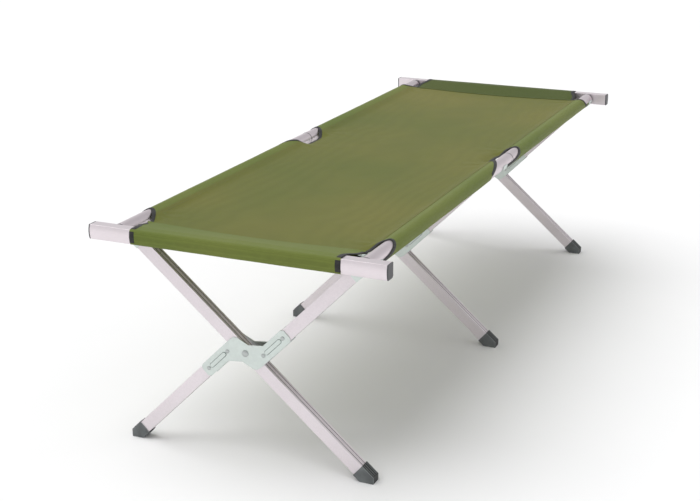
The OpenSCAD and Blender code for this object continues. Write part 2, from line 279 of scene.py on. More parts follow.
def fabric_material(name, dark, light):
    """Coated polyester: a fine plain weave, slubs along the yarns and slow changes of tone."""
    m = Nodes(name)
    across = m.wave("X", 330)
    along = m.wave("Y", 330)
    up = m.wave("Z", 330)
    weave = m.math("MULTIPLY", m.math("ADD", across.outputs["Fac"], up.outputs["Fac"]),
                   along.outputs["Fac"])
    slub = m.noise(60, 4, (1, 14, 1))
    slub_across = m.noise(60, 4, (14, 1, 14))
    tone = m.noise(2.2, 3)
    base = m.ramp(tone.outputs["Fac"], [(0.32, dark), (0.68, light)])
    yarn = m.math("ADD", m.math("MULTIPLY", slub.outputs["Fac"], 0.5),
                  m.math("MULTIPLY", slub_across.outputs["Fac"], 0.5))
    yarn_tone = m.ramp(yarn, [(0.3, (0.86, 0.86, 0.84)), (0.7, (1.1, 1.1, 1.12))])
    weave_tone = m.ramp(weave, [(0.0, (0.9, 0.9, 0.9)), (1.0, (1.06, 1.06, 1.05))])
    base = m.mix(1.0, base, yarn_tone, "MULTIPLY")
    m.colour(m.mix(1.0, base, weave_tone, "MULTIPLY"))
    m.rough(yarn, 0.5, 0.66)
    m.set(Sheen_Weight=0.03, Sheen_Roughness=0.5, Specular_IOR_Level=0.16)
    height = m.math("ADD", m.math("MULTIPLY", weave, 0.7), m.math("MULTIPLY", yarn, 0.9))
    m.bump(height, 0.35, 0.0003)
    return m.material


def tape_material(name, dark, light):
    """Woven binding tape: ribs across the tape and worn, slightly lighter high spots."""
    m = Nodes(name)
    ribs = m.math("ADD", m.wave("X", 500).outputs["Fac"], m.wave("Y", 500).outputs["Fac"])
    wear = m.noise(180, 4)
    m.colour(m.ramp(wear.outputs["Fac"], [(0.4, dark), (0.75, light)]))
    m.rough(wear.outputs["Fac"], 0.55, 0.8)
    m.set(Sheen_Weight=0.1, Specular_IOR_Level=0.4)
    m.bump(m.math("ADD", ribs, wear.outputs["Fac"]), 0.4, 0.0002)
    return m.material


def thread_material(name, dark, light):
    """Twisted sewing thread."""
    m = Nodes(name)
    twist = m.wave("DIAGONAL", 900)
    m.colour(m.ramp(twist.outputs["Fac"], [(0, dark), (1, light)]))
    m.rough(twist.outputs["Fac"], 0.45, 0.65)
    m.bump(twist.outputs["Fac"], 0.3, 0.0001)
    return m.material


def aluminium_material(name, colour, rough, stretch, shaded_grooves_at=None, metal=1.0):
    """Satin anodised extrusion: drawing streaks along the section, faint blotches and rounded edges. On a leg
    with its middle plane at the given Y, painted shade darkens the two outer grooves of the narrow faces."""
    m = Nodes(name)
    streak = m.noise(90, 5, stretch, 0.6)
    blotch = m.noise(9, 3)
    scuff = m.noise(240, 5, (1, 1, 1), 0.7)
    low = tuple(c * 0.93 for c in colour)
    high = tuple(min(1.0, c * 1.05) for c in colour)
    base = m.ramp(streak.outputs["Fac"], [(0.35, low), (0.65, high)])
    base = m.mix(0.5, base, m.ramp(blotch.outputs["Fac"], [(0.3, low), (0.7, high)]))
    if shaded_grooves_at is not None:
        # painted shade: the two outer grooves of each narrow face are darkened in the colour
        shade = m.math("MULTIPLY", m.band(m.off_centre(shaded_grooves_at), GROOVE_OFF, GROOVE_SHADE_HALF), 0.85)
        base = m.mix(shade, base, tuple(c * 0.22 for c in colour))
    m.colour(base)
    m.rough(m.math("ADD", m.math("MULTIPLY", streak.outputs["Fac"], 0.6),
                   m.math("MULTIPLY", scuff.outputs["Fac"], 0.4)), rough - 0.07, rough + 0.09)
    m.set(Metallic=metal)
    m.bump(m.math("ADD", streak.outputs["Fac"], m.math("MULTIPLY", scuff.outputs["Fac"], 0.3)),
           0.35, 0.00012, 0.0009)
    return m.material


def galvanised_material(name, colour, rough):
    """Zinc-plated steel: faint spangle, cloudy tint and rounded edges."""
    m = Nodes(name)
    spangle = m.add("ShaderNodeTexVoronoi")
    spangle.inputs["Scale"].default_value = 170
    m.link(m.scaled(), "Vector", spangle, "Vector")
    cloud = m.noise(22, 4)
    grit = m.noise(300, 4)
    low = tuple(c * 0.9 for c in colour)
    base = m.ramp(cloud.outputs["Fac"], [(0.3, low), (0.7, colour)])
    grey = m.ramp(spangle.outputs["Color"], [(0, (0.97, 0.97, 0.97)), (1, (1.03, 1.03, 1.03))])
    m.colour(m.mix(1.0, base, grey, "MULTIPLY"))
    m.rough(cloud.outputs["Fac"], rough - 0.06, rough + 0.12)
    m.set(Metallic=0.9)
    m.bump(m.math("ADD", m.math("MULTIPLY", spangle.outputs["Distance"], 0.4), grit.outputs["Fac"]),
           0.25, 0.0001, 0.0006)
    return m.material


def rubber_material(name, colour, rough, shaded_sides_at=None):
    """Moulded black rubber or plastic: fine grain, dusty high spots and soft edges. On a boot with its middle
    plane at the given Y, the narrow sides carry painted shade and the edges beside them a painted highlight."""
    m = Nodes(name)
    grain = m.noise(700, 3)
    dust = m.noise(40, 4)
    high = tuple(min(1.0, c * 1.7 + 0.006) for c in colour)
    base = m.ramp(dust.outputs["Fac"], [(0.35, colour), (0.75, high)])
    if shaded_sides_at is not None:
        off = m.off_centre(shaded_sides_at)
        # painted shade: the narrow sides, between the ribs, are darkened in the colour
        base = m.mix(m.math("LESS_THAN", off, BOOT_SIDE_HALF), base, tuple(c * 0.22 for c in colour))
        # painted highlight: a light line along the edges beside the narrow sides
        edge = m.band(off, BOOT_SIDE_HALF + BOOT_HIGHLIGHT_HALF, BOOT_HIGHLIGHT_HALF)
        base = m.mix(edge, base, tuple(c * 3 for c in colour))
    m.colour(base)
    m.rough(dust.outputs["Fac"], rough - 0.05, rough + 0.12)
    m.bump(grain.outputs["Fac"], 0.3, 0.00015, 0.001)
    return m.material


FABRIC = fabric_material("olive_fabric", (0.114, 0.134, 0.021), (0.160, 0.157, 0.029))
SLEEVE = fabric_material("olive_sleeve", (0.126, 0.168, 0.031), (0.163, 0.192, 0.042))
# painted shade: the head end sleeve gets a darker copy of the sleeve cloth, though it is the same cloth as at
# the foot end
SHADED_HEAD_SLEEVE = fabric_material("olive_head_sleeve_painted_shade", (0.056, 0.084, 0.012), (0.074, 0.096, 0.016))
TAPE = tape_material("black_tape", (0.008, 0.008, 0.008), (0.028, 0.028, 0.026))
THREAD = thread_material("thread", (0.11, 0.13, 0.045), (0.2, 0.22, 0.1))
RAIL = aluminium_material("rail_aluminium", (0.69, 0.625, 0.655), 0.36, (24, 1, 24))
BAR = aluminium_material("bar_aluminium", (0.78, 0.715, 0.745), 0.34, (1, 24, 24))
LEGS = {name: aluminium_material(f"leg_aluminium_{name}", (0.77, 0.71, 0.74), 0.36, (3, 24, 3), y, 0.55)
        for name, y in STATIONS.items()}
STEEL = galvanised_material("zinc_steel", (0.66, 0.72, 0.69), 0.34)
FASTENER = galvanised_material("fastener_steel", (0.5, 0.53, 0.52), 0.3)
# painted shade: a dark zinc for the rings round the plate channels
PLATE_SHADE = galvanised_material("zinc_painted_shade", (0.22, 0.27, 0.25), 0.5)
BOOT_COLOUR = (0.085, 0.093, 0.094)
BOOTS = {name: rubber_material(f"boot_rubber_{name}", BOOT_COLOUR, 0.5, y) for name, y in STATIONS.items()}
RIB = rubber_material("boot_rib_rubber", BOOT_COLOUR, 0.5)
PLASTIC = rubber_material("cap_plastic", (0.055, 0.055, 0.06), 0.45)


def finish_nodes():
    """Gives every CAD node its finish, by the first rule its name fits."""
    rules = [("_rail_", RAIL), ("_bar_studs", FASTENER), ("_bar_caps", PLASTIC), ("foot_bar", BAR),
             ("head_bar", BAR), ("_rivets", FASTENER), ("_joint_pin", FASTENER), ("_joint_", STEEL),
             ("_plug_", PLASTIC), ("_bracket_", STEEL), ("_plate_", STEEL), ("leg_", LEGS), ("_boot_", BOOTS)]
    for name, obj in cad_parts.items():
        for part, material in rules:
            if part in name:
                if isinstance(material, dict):
                    material = material[name.split("_")[-1]]
                for slot in obj.material_slots:
                    slot.material = material
                break


# ---- fabric surfaces ----
def side_rise(x):
    """How far the pocket's slope lifts the panel above its level, x metres from the centre line."""
    lift = LEAVE_Z - (LEAVE_X - x) * math.tan(LEAVE) - PANEL_Z
    return soft_ramp(lift, 0.0025)


def end_rise(y):
    """How far the slope up to the end bar lifts the panel."""
    return soft_ramp((abs(y) - SEAM_Y) * END_SLOPE, 0.0015)


def soft_ramp(value, k):
    """value where it is above 0 and 0 below, with a smooth change over k on either side."""
    if value > k:
        return value
    return 0.0 if value < -k else (value + k) ** 2 / (4 * k)


def clamp(value, low=0.0, high=1.0):
    return max(low, min(high, value))


def smooth(share):
    return share * share * (3 - 2 * share)


def level_at(y):
    """1 over the panel's flat length, down to 0 at the end bar."""
    return clamp(1 - (abs(y) - SEAM_Y) / (FLUSH_Y - SEAM_Y))


def droop_at(y):
    """How far the free edge hangs along the cut-outs beside y."""
    return DROOP if abs(y) < CORNER_Y else CORNER_DROOP


def ripple(x, y):
    """Slight slackness: puckers that spread from the cut-outs and shallow waves between the rails."""
    side = 1 if x >= 0 else -1
    ax = abs(x)
    inside = clamp((EDGE_X - ax) / 0.03)
    height = 0.0004 * noise.noise(Vector((x * 3.0, y * 14.0, 3.1 + side))) * inside * clamp(ax / 0.05)
    height += 0.0007 * noise.noise(Vector((x * 5.0, y * 4.0, 0.4))) * inside
    for corner in (CUT_FOOT_Y, CUT_HEAD_Y, SLEEVE_FOOT_Y, SLEEVE_HEAD_Y):
        dx, dy = EDGE_X - ax, y - corner
        reach = math.hypot(dx, dy)
        fade = math.exp(-(reach / 0.06) ** 2) * clamp(reach / 0.015) * inside
        height += 0.0011 * fade * math.cos(8 * math.atan2(dy, dx + 1e-6) + side)
    return height


def arch(d, inner=NOTCH_INNER_LEN, outer=NOTCH_OUTER_LEN):
    """How far a cut-out's rounded end falls back from its tip, d metres outward from the panel's edge."""
    if d > NOTCH_TOP:
        u = min(1.0, (d - NOTCH_TOP) / (NOTCH_OUT - NOTCH_TOP))
        return outer * (1 - math.sqrt(1 - u * u))
    u = min(1.0, (NOTCH_TOP - d) / (NOTCH_TOP - NOTCH_D))
    return inner * (1 - (1 - u ** 1.5) ** (1 / 1.5))


def head_arch(d):
    """The same for the cut-outs at the head end, which are shorter."""
    return arch(d, HEAD_INNER_LEN, HEAD_OUTER_LEN)


def slant(d):
    """The near end of the middle cut-out, which runs on a slant round the rail."""
    d = clamp(d, NOTCH_D, NOTCH_OUT)
    return SLANT_Y - 0.9 * d - 29 * d * d if d > 0 else SLANT_Y - 0.45 * d


def hold(y):
    """How firmly the sleeve lifts the panel's edge: 1 beside a sleeve and 0 along a cut-out."""
    inside = max(min(y - slant(0) + 0.016, CUT_HEAD_Y - 0.012 - y), SLEEVE_FOOT_Y - 0.012 - y,
                 y - SLEEVE_HEAD_Y - 0.012)
    return 1 - smooth(clamp(inside / 0.032))


def panel_edge(y):
    """How far out the panel's edge runs: 0 beside a sleeve and NOTCH_D along a cut-out."""
    if slant(0) < y < 0.03:
        return NOTCH_D * clamp((y - slant(0)) / (slant(NOTCH_D) - slant(0)))
    shape = head_arch if y > SLEEVE_HEAD_Y else arch
    room = max(CUT_HEAD_Y - y if y > 0 else -1, SLEEVE_FOOT_Y - y, y - SLEEVE_HEAD_Y)
    if room <= 0 or shape(0.0) >= room:
        return 0.0
    low, high = NOTCH_D, 0.0
    if shape(low) <= room:
        return low
    for _ in range(24):
        middle = (low + high) / 2
        low, high = (middle, high) if shape(middle) > room else (low, middle)
    return low


def panel_z(x, y):
    """Height of the middle of the panel's cloth."""
    ax = abs(x)
    level = level_at(y)
    sag = SAG * clamp(1 - (ax / BLEND_END) ** 2) * level
    rise = ((hold(y) * side_rise(ax)) ** 3 + end_rise(y) ** 3) ** (1 / 3)
    free = clamp((ax - DROOP_FROM) / (EDGE_X + NOTCH_D - DROOP_FROM))
    droop = droop_at(y) * (1 - hold(y)) * level * smooth(free)
    return PANEL_Z - sag + rise - droop + ripple(x, y) * level


def around(d):
    """Where the side sleeve's cloth runs, d metres from the panel's edge: (x, z) and its outward normal."""
    if d <= SLOPE_LEN:
        c, s = math.cos(LEAVE), math.sin(LEAVE)
        return EDGE_X + d * c, LEAVE_Z - (SLOPE_LEN - d) * s, -s, c
    turn = min((d - SLOPE_LEN) / SLEEVE_R, LEAVE + WRAP_TO) - LEAVE
    rest = max(0.0, d - SLOPE_LEN - RING_LEN)
    s, c = math.sin(turn), math.cos(turn)
    return RAIL_X + SLEEVE_R * s + rest * c, RAIL_Z + SLEEVE_R * c - rest * s, s, c


def side_point(d, y, lift=0.0):
    """A point of the bed by its distance d outward from the panel's edge, and its place along the cot."""
    if d > 0:
        x, z, nx, nz = around(d)
        slack = (1 - hold(y)) * (side_rise(EDGE_X) + droop_at(y) * level_at(y))
        z -= slack * clamp(1 - d / SLOPE_LEN)
        return Vector((x + nx * lift, y, z + nz * lift))
    x = EDGE_X + d * math.cos(LEAVE)
    return Vector((x, y, panel_z(x, y))) + lift * Vector((-math.sin(LEAVE), 0, math.cos(LEAVE)))


def rounded(points, passes):
    """Cuts the corners of an open outline, each pass finer."""
    for _ in range(passes):
        cut = [points[0]]
        for a, b in zip(points, points[1:]):
            cut += [tuple(p + (q - p) * t for p, q in zip(a, b)) for t in (0.25, 0.75)]
        points = cut + [points[-1]]
    return points


def bar_wrap():
    """The cloth's path over the bar, round its bulged front, under it and back up to the panel."""
    centre_y, centre_z = BAR_HI.y - BULGE_R, (BAR_LO.z + BAR_HI.z) / 2
    half = math.asin((BAR_HI.z - centre_z) / BULGE_R)
    around_r, under_z = BULGE_R + BAR_GAP, BAR_LO.z - BAR_GAP
    path = [(FLUSH_Y, TOP_Z), (BAR_HI.y - BAR_LIP, TOP_Z)]
    for i in range(9):
        turn = half * (1 - i / 4)
        path.append((centre_y + around_r * math.cos(turn), centre_z + around_r * math.sin(turn)))
    path += [(BAR_HI.y - BAR_LIP, under_z), (BAR_IN + 0.0045, under_z), (BAR_IN - BAR_GAP, BAR_LO.z + 0.0045),
             (BAR_IN - 0.022, BAR_LO.z + 0.009), (SEAM_Y + 0.014, PANEL_Z - 0.0035)]
    return rounded(path, 2)


WRAP = bar_wrap()
WRAP_AT = [0.0]
for first, second in zip(WRAP, WRAP[1:]):
    WRAP_AT.append(WRAP_AT[-1] + math.dist(first, second))
TAIL_FROM = SEAM_Y - 0.004
TAIL_LEN = FLUSH_Y - TAIL_FROM
END_LEN = TAIL_LEN + WRAP_AT[-1]


def end_point(x, s, lift=0.0):
    """A point of the end sleeve, s metres along its cloth from the seam on the panel."""
    if s <= TAIL_LEN:
        y = TAIL_FROM + s
        return Vector((x, y, panel_z(x, y) + LAYER + lift))
    at = min(s - TAIL_LEN, WRAP_AT[-1] - 1e-6)
    i = next(k for k in range(len(WRAP) - 1) if WRAP_AT[k + 1] > at)
    share = (at - WRAP_AT[i]) / (WRAP_AT[i + 1] - WRAP_AT[i])
    (y0, z0), (y1, z1) = WRAP[i], WRAP[i + 1]
    length = math.dist(WRAP[i], WRAP[i + 1])
    ny, nz = -(z1 - z0) / length, (y1 - y0) / length
    wave = 0.0004 * (noise.noise(Vector((x * 12, s * 20, 7.7))) + 0.4) * clamp((s - TAIL_LEN) / 0.01)
    out = lift + max(0.0, wave)
    return Vector((x, y0 + (y1 - y0) * share + ny * out, z0 + (z1 - z0) * share + nz * out))


# ---- mesh helpers ----
def new_object(name, verts, faces, material, rounded_off=True, angle=40):
    """A mesh object, shaded smooth over edges flatter than angle when rounded_off."""
    mesh = bpy.data.meshes.new(name)
    mesh.from_pydata([tuple(v) for v in verts], [], faces)
    bm = bmesh.new()
    bm.from_mesh(mesh)
    bmesh.ops.recalc_face_normals(bm, faces=bm.faces)
    limit = math.radians(angle)
    for edge in bm.edges:
        edge.smooth = len(edge.link_faces) == 2 and edge.calc_face_angle(0) < limit
    for face in bm.faces:
        face.smooth = rounded_off
    bm.to_mesh(mesh)
    bm.free()
    mesh.materials.append(material)
    obj = bpy.data.objects.new(name, mesh)
    bpy.context.scene.collection.objects.link(obj)
    return obj


def sheet_mesh(name, grid, material):
    """A closed sheet from rows of points: a top and a bottom skin joined round the rim."""
    rows, cols = len(grid), len(grid[0])
    normals = []
    for i in range(rows):
        line = []
        for j in range(cols):
            a = grid[min(i + 1, rows - 1)][j] - grid[max(i - 1, 0)][j]
            b = grid[i][min(j + 1, cols - 1)] - grid[i][max(j - 1, 0)]
            line.append(a.cross(b).normalized())
        normals.append(line)
    verts = [grid[i][j] + normals[i][j] * CLOTH * k
             for k in (0.5, -0.5) for i in range(rows) for j in range(cols)]
    size = rows * cols
    faces = []
    for i in range(rows - 1):
        for j in range(cols - 1):
            a, b, c, d = i * cols + j, i * cols + j + 1, (i + 1) * cols + j + 1, (i + 1) * cols + j
            faces += [(a, b, c, d), (a + size, d + size, c + size, b + size)]
    rim = list(range(cols)) + [i * cols + cols - 1 for i in range(1, rows)]
    rim += [(rows - 1) * cols + j for j in range(cols - 2, -1, -1)]
    rim += [i * cols for i in range(rows - 2, 0, -1)]
    for a, b in zip(rim, rim[1:] + rim[:1]):
        faces.append((a, a + size, b + size, b))
    return new_object(name, verts, faces, material)


def spaced(a, b, step):
    """Even values from a to b, both kept, about step apart."""
    count = max(2, round((b - a) / step))
    return [a + (b - a) * i / count for i in range(count + 1)]


def mirrored(point, sx, sy):
    return Vector((point.x * sx, point.y * sy, point.z))


def tape_mesh(name, path, place, sx, sy, widen=lambda a, b: 1.0):
    """A binding folded over a cut edge. path is 2-D on the cloth, with the cloth on its left,
    place(a, b, lift) puts a 2-D point on the cloth, and widen scales the inner half of the tape."""
    verts, faces, count = [], [], len(TAPE_SECTION)
    for i, p in enumerate(path):
        a, b = Vector(path[max(i - 1, 0)]), Vector(path[min(i + 1, len(path) - 1)])
        along = (b - a).normalized()
        left = Vector((-along.y, along.x))
        for inward, lift in TAPE_SECTION:
            q = Vector(p) + left * inward * (widen(*p) if inward > 0.004 else 1)
            verts.append(mirrored(place(q.x, q.y, lift), sx, sy))
    for i in range(len(path) - 1):
        for j in range(count):
            a, b = i * count + j, i * count + (j + 1) % count
            faces.append((a, b, b + count, a + count))
    last = (len(path) - 1) * count
    faces += [tuple(range(count)), tuple(last + j for j in reversed(range(count)))]
    return new_object(name, verts, faces, TAPE, angle=60)


def line(a, b, step=0.006):
    """The points between a and b, without these two."""
    count = max(1, round(math.dist(a, b) / step))
    return [tuple(p + (q - p) * i / count for p, q in zip(a, b)) for i in range(1, count)]


def stitch_rows(name, rows, sx, sy):
    """Runs of stitches: each row is a list of points on the cloth with its normals."""
    verts, faces = [], []
    for row in rows:
        run = 0.0
        for (p, n), (q, _) in zip(row, row[1:]):
            step = (q - p).length
            if step < 1e-7:
                continue
            along = (q - p) / step
            beside = along.cross(n).normalized()
            while run < step:
                start = p + along * run
                base = len(verts)
                for t, w, h in ((0, 0.3, 0), (0.2, 1, 1), (0.8, 1, 1), (1, 0.3, 0)):
                    for k in (-1, 1):
                        verts.append(mirrored(start + along * STITCH_LEN * t + beside * k * w * STITCH_W / 2
                                              + n * (h * STITCH_H - 0.0001), sx, sy))
                for t in (0, 1):
                    for k in (-1, 1):
                        verts.append(mirrored(start + along * STITCH_LEN * t + beside * k * STITCH_W * 0.15
                                              - n * 0.0003, sx, sy))
                faces += [tuple(base + v for v in quad) for quad in
                          ((0, 1, 3, 2), (2, 3, 5, 4), (4, 5, 7, 6), (0, 2, 4, 6, 10, 8), (1, 9, 11, 7, 5, 3),
                           (8, 10, 11, 9), (0, 8, 9, 1), (6, 7, 11, 10))]
                run += STITCH_PITCH
            run -= step
    return new_object(name, verts, faces, THREAD)


def surface_row(points, place, lift):
    """Points of the cloth with normals, from 2-D places on it."""
    row = []
    for a, b in points:
        p = place(a, b, lift)
        row.append((p, (place(a, b, lift + 0.001) - p).normalized()))
    return row


# ---- fabric pieces ----
def build_panels():
    """The flat bed, in two halves that meet along the middle."""
    reach = SEAM_Y + PANEL_PAST_SEAM
    rows = sorted(spaced(-reach, reach, 0.0085)
                  + [y for tip, way in ((SLEEVE_FOOT_Y, -1), (CUT_HEAD_Y, -1), (SLEEVE_HEAD_Y, 1))
                     for y in spaced(tip + way * 0.018, tip + way * 0.067, 0.0021)]
                  + spaced(slant(0) - 0.001, slant(NOTCH_D) + 0.001, 0.0008))
    for side, body in SIDES.items():
        grid = []
        for y in rows:
            past = max(0.0, abs(y) - SEAM_Y)
            edge = EDGE_X + panel_edge(y) * math.cos(LEAVE) - PANEL_TAPER * past
            columns = spaced(0, 0.25, 0.0125) + [0.25 + (edge - 0.25) * k / 15 for k in range(1, 16)]
            level_y = clamp(y, -SEAM_Y, SEAM_Y)
            grid.append([Vector((side * x, y, panel_z(side * x, level_y))) for x in columns])
        panel = sheet_mesh(f"panel_{body[:-6]}", grid, FABRIC)
        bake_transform(panel)
        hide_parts("fabric_panel")


def sleeve_span(d, end):
    """Where the side sleeve's cloth starts and ends along the cot, d metres out from the panel's edge.
    A strip of cloth runs on under the rail to the bracket, and the pocket's inner side stops short again."""
    under = d >= NOTCH_OUT
    inner = smooth(clamp((d - STRIP_FROM) / (STRIP_TO - STRIP_FROM)))
    d = max(d, 0.0)
    if end == "foot":
        strip = BRACKET_FOOT[1].y + BRACKET_GAP
        low = strip + inner * (SLEEVE_FOOT_Y - 0.02 - strip) if under else SLEEVE_FOOT_Y - arch(d)
        return max(low, strip), slant(d)
    strip = BRACKET_MID[1].y + BRACKET_GAP
    low = strip + inner * (CUT_HEAD_Y - 0.02 - strip) if under else CUT_HEAD_Y - arch(d)
    strip = BRACKET_HEAD[0].y - BRACKET_GAP
    high = strip + inner * (SLEEVE_HEAD_Y + 0.01 - strip) if under else SLEEVE_HEAD_Y + head_arch(d)
    return low, min(high, strip)


def build_side_sleeves():
    """The pockets round the rails, one on each rail half."""
    across = spaced(-LAP, 0, 0.004)[:-1] + spaced(0, NOTCH_OUT - 0.006, 0.0018)[:-1]
    across += spaced(NOTCH_OUT - 0.006, NOTCH_OUT - 0.00005, 0.0008) + spaced(NOTCH_OUT, AROUND_LEN, 0.0024)
    for side, body in SIDES.items():
        for end in ("foot", "head"):
            lines = []
            for d in across:
                line_points = []
                low, high = sleeve_span(d, end)
                for i in range(91):
                    y = low + (high - low) * i / 90
                    under = -0.6 * LAYER * clamp(1 - d / 0.003)
                    slack = 0.0006 * (noise.noise(Vector((d * 40, y * 9, 5 + side))) + 0.3)
                    fade = clamp((y - low) / 0.02) * clamp((high - y) / 0.02) * clamp((d - SLOPE_LEN) / 0.01)
                    point = side_point(d, y, under + max(0.0, slack) * fade)
                    line_points.append(mirrored(point, side, 1))
                lines.append(line_points)
            sleeve = sheet_mesh(f"sleeve_{body[:-6]}_{end}", lines, SLEEVE)
            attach(sleeve, body)
            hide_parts(f"{body[:-6]}_sleeve_{end}")


NOTCH_X = EDGE_X + NOTCH_D * math.cos(LEAVE)
END_OUTLINE = rounded([(NOTCH_X, 0.0), (NOTCH_X, TAIL_LEN - 0.044), (NOTCH_X - 0.003, TAIL_LEN - 0.026),
                       (END_HALF + 0.001, TAIL_LEN - 0.01), (END_HALF, TAIL_LEN + 0.012),
                       (END_HALF, END_LEN)], 3)


def end_half_width(s):
    """Half the end sleeve's width, s metres along its cloth: wide on the panel, narrow round the bar."""
    for (x0, s0), (x1, s1) in zip(END_OUTLINE, END_OUTLINE[1:]):
        if s0 <= s <= s1:
            return x0 + (x1 - x0) * (s - s0) / (s1 - s0)
    return END_HALF


def build_end_sleeves():
    """The pockets round the end bars."""
    stations = sorted(set(spaced(0, TAIL_LEN - 0.04, 0.006) + spaced(TAIL_LEN - 0.04, TAIL_LEN + 0.01, 0.0012)
                          + spaced(TAIL_LEN + 0.01, END_LEN, 0.0025)))
    for end, body in ENDS.items():
        name = body.split("_")[0]
        grid = []
        for s in stations:
            half = end_half_width(s)
            grid.append([mirrored(end_point(half * k / 28, s), 1, end) for k in range(-28, 29)])
        # the head end sleeve is drawn in the darker copy of the cloth, painted shade
        sleeve = sheet_mesh(f"end_sleeve_{name}", grid, SLEEVE if name == "foot" else SHADED_HEAD_SLEEVE)
        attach(sleeve, body)
        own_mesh(sleeve)
        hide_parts(f"{name}_end_sleeve")


def foot_point(d, y, lift):
    """side_point for the foot end, measured as if it were the head end."""
    return mirrored(side_point(d, -y, lift), 1, -1)


def bar_tape_width(_, s):
    """The end sleeve's tape grows wider as it turns round the bar."""
    return 1 + BAR_TAPE_WIDER * clamp((s - TAIL_LEN + 0.012) / 0.02)


def arch_path(tip, way, d_from, d_to, count, shape=arch):
    """The rounded end of a cut-out from one place across the cloth to another."""
    return [(d, tip + way * shape(d)) for d in
            (d_from + (d_to - d_from) * (1 - math.cos(math.pi * i / count)) / 2 for i in range(count + 1))]


def build_bindings():
    """Black tape round every cut-out and along the end sleeves' sides."""
    start = BRACKET_MID[1].y + BRACKET_GAP
    mid = [(NOTCH_OUT, start)] + line((NOTCH_OUT, start), (NOTCH_OUT, CUT_HEAD_Y - NOTCH_OUTER_LEN))
    mid += arch_path(CUT_HEAD_Y, -1, NOTCH_OUT, NOTCH_D, 40)
    mid += line(mid[-1], (NOTCH_D, slant(NOTCH_D) + 0.002), 0.004)
    across = [NOTCH_D - 0.004 + (NOTCH_OUT - NOTCH_D + 0.008) * i / 30 for i in range(31)]
    near = [(d, slant(d)) for d in across if d < NOTCH_OUT]
    foot_stop = -(BRACKET_FOOT[1].y + BRACKET_GAP)
    head_stop = BRACKET_HEAD[0].y - BRACKET_GAP
    for side, body in SIDES.items():
        name = body[:-6]
        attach(tape_mesh(f"binding_{name}_mid", mid[::-1], side_point, side, 1), body)
        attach(tape_mesh(f"binding_{name}_mid_near", near[::-1], side_point, side, 1), body)
        for end, bar_body, tip, stop in ((-1, "foot_end_bar", -SLEEVE_FOOT_Y, foot_stop),
                                         (1, "head_end_bar", SLEEVE_HEAD_Y, head_stop)):
            end_name = bar_body.split("_")[0]
            shape = head_arch if end > 0 else arch
            corner = [(NOTCH_D, SEAM_Y + 0.006)]
            corner += line(corner[0], (NOTCH_D, tip + shape(NOTCH_D)), 0.004)
            corner += arch_path(tip, 1, NOTCH_D, NOTCH_OUT, 40, shape)
            corner = [p for p in corner if p[1] < stop or p[0] < 0]
            place = side_point if end > 0 else foot_point
            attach(tape_mesh(f"binding_{name}_{end_name}", corner[::-1], place, side, end), body)
            bar = [(x, s) for x, s in END_OUTLINE[:-1] if s > 0.006]
            bar += line(END_OUTLINE[-2], (END_HALF, END_LEN - BAR_TAPE_SHORT), 0.002)
            piece = tape_mesh(f"binding_{name}_{end_name}_bar", bar, end_point, side, end, bar_tape_width)
            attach(piece, bar_body)
            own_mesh(piece)


def build_rail_seams():
    """The fine dark line where the two halves of each rail meet."""
    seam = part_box("right_rail_head")[0].y
    ring = [(0.0004, -0.0008), (0.0004, 0.0008), (-0.0012, 0.0008), (-0.0012, -0.0008)]
    for side, body in SIDES.items():
        verts, faces, turns = [], [], 48
        for i in range(turns):
            t = 2 * math.pi * i / turns
            verts += [Vector((side * RAIL_X + (RAIL_R + out) * math.cos(t), seam + along,
                              RAIL_Z + (RAIL_R + out) * math.sin(t))) for out, along in ring]
            faces += [(4 * i + j, 4 * i + (j + 1) % 4, (4 * i + 4) % (4 * turns) + (j + 1) % 4,
                       (4 * i + 4) % (4 * turns) + j) for j in range(4)]
        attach(new_object(f"rail_seam_{body[:-6]}", verts, faces, PLASTIC), body)


def build_plate_shade_rings():
    """A ring of painted shade round each pressed channel of the crossing plates: a thin dark band at the
    channel's edge.
    """
    inner, outer, turns = CHANNEL_R - PLATE_SHADE_IN, CHANNEL_R + PLATE_SHADE_OUT, 24
    up = Vector((math.cos(SPLIT_ANGLE), 0, math.sin(SPLIT_ANGLE)))
    across = Vector((-math.sin(SPLIT_ANGLE), 0, math.cos(SPLIT_ANGLE)))
    verts, faces = [], []
    for where, face, turn in itertools.product(STATIONS.values(), (-1, 1), (-1, 1)):
        first = len(verts)
        for i in range(2 * turns):
            t = math.pi * (i if i < turns else i - 1) / (turns - 1) - math.pi / 2
            end = CHANNEL_ENDS[1] if i < turns else CHANNEL_ENDS[0]
            for radius, lift in ((inner, 0), (outer, 0), (outer, PLATE_SHADE_LIFT), (inner, PLATE_SHADE_LIFT)):
                u = turn * (end + radius * math.cos(t))
                v = turn * (-SPLIT_OFF + radius * math.sin(t))
                spot = up * u + across * v
                verts.append(Vector((spot.x, where + face * (PLATE_FACE + lift), PIVOT_Z + spot.z)))
        for i in range(2 * turns):
            a, b = first + 4 * i, first + 4 * ((i + 1) % (2 * turns))
            faces += [(a + j, a + (j + 1) % 4, b + (j + 1) % 4, b + j) for j in range(4)]
    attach(new_object("plate_shade_rings", verts, faces, PLATE_SHADE), "right_frame")


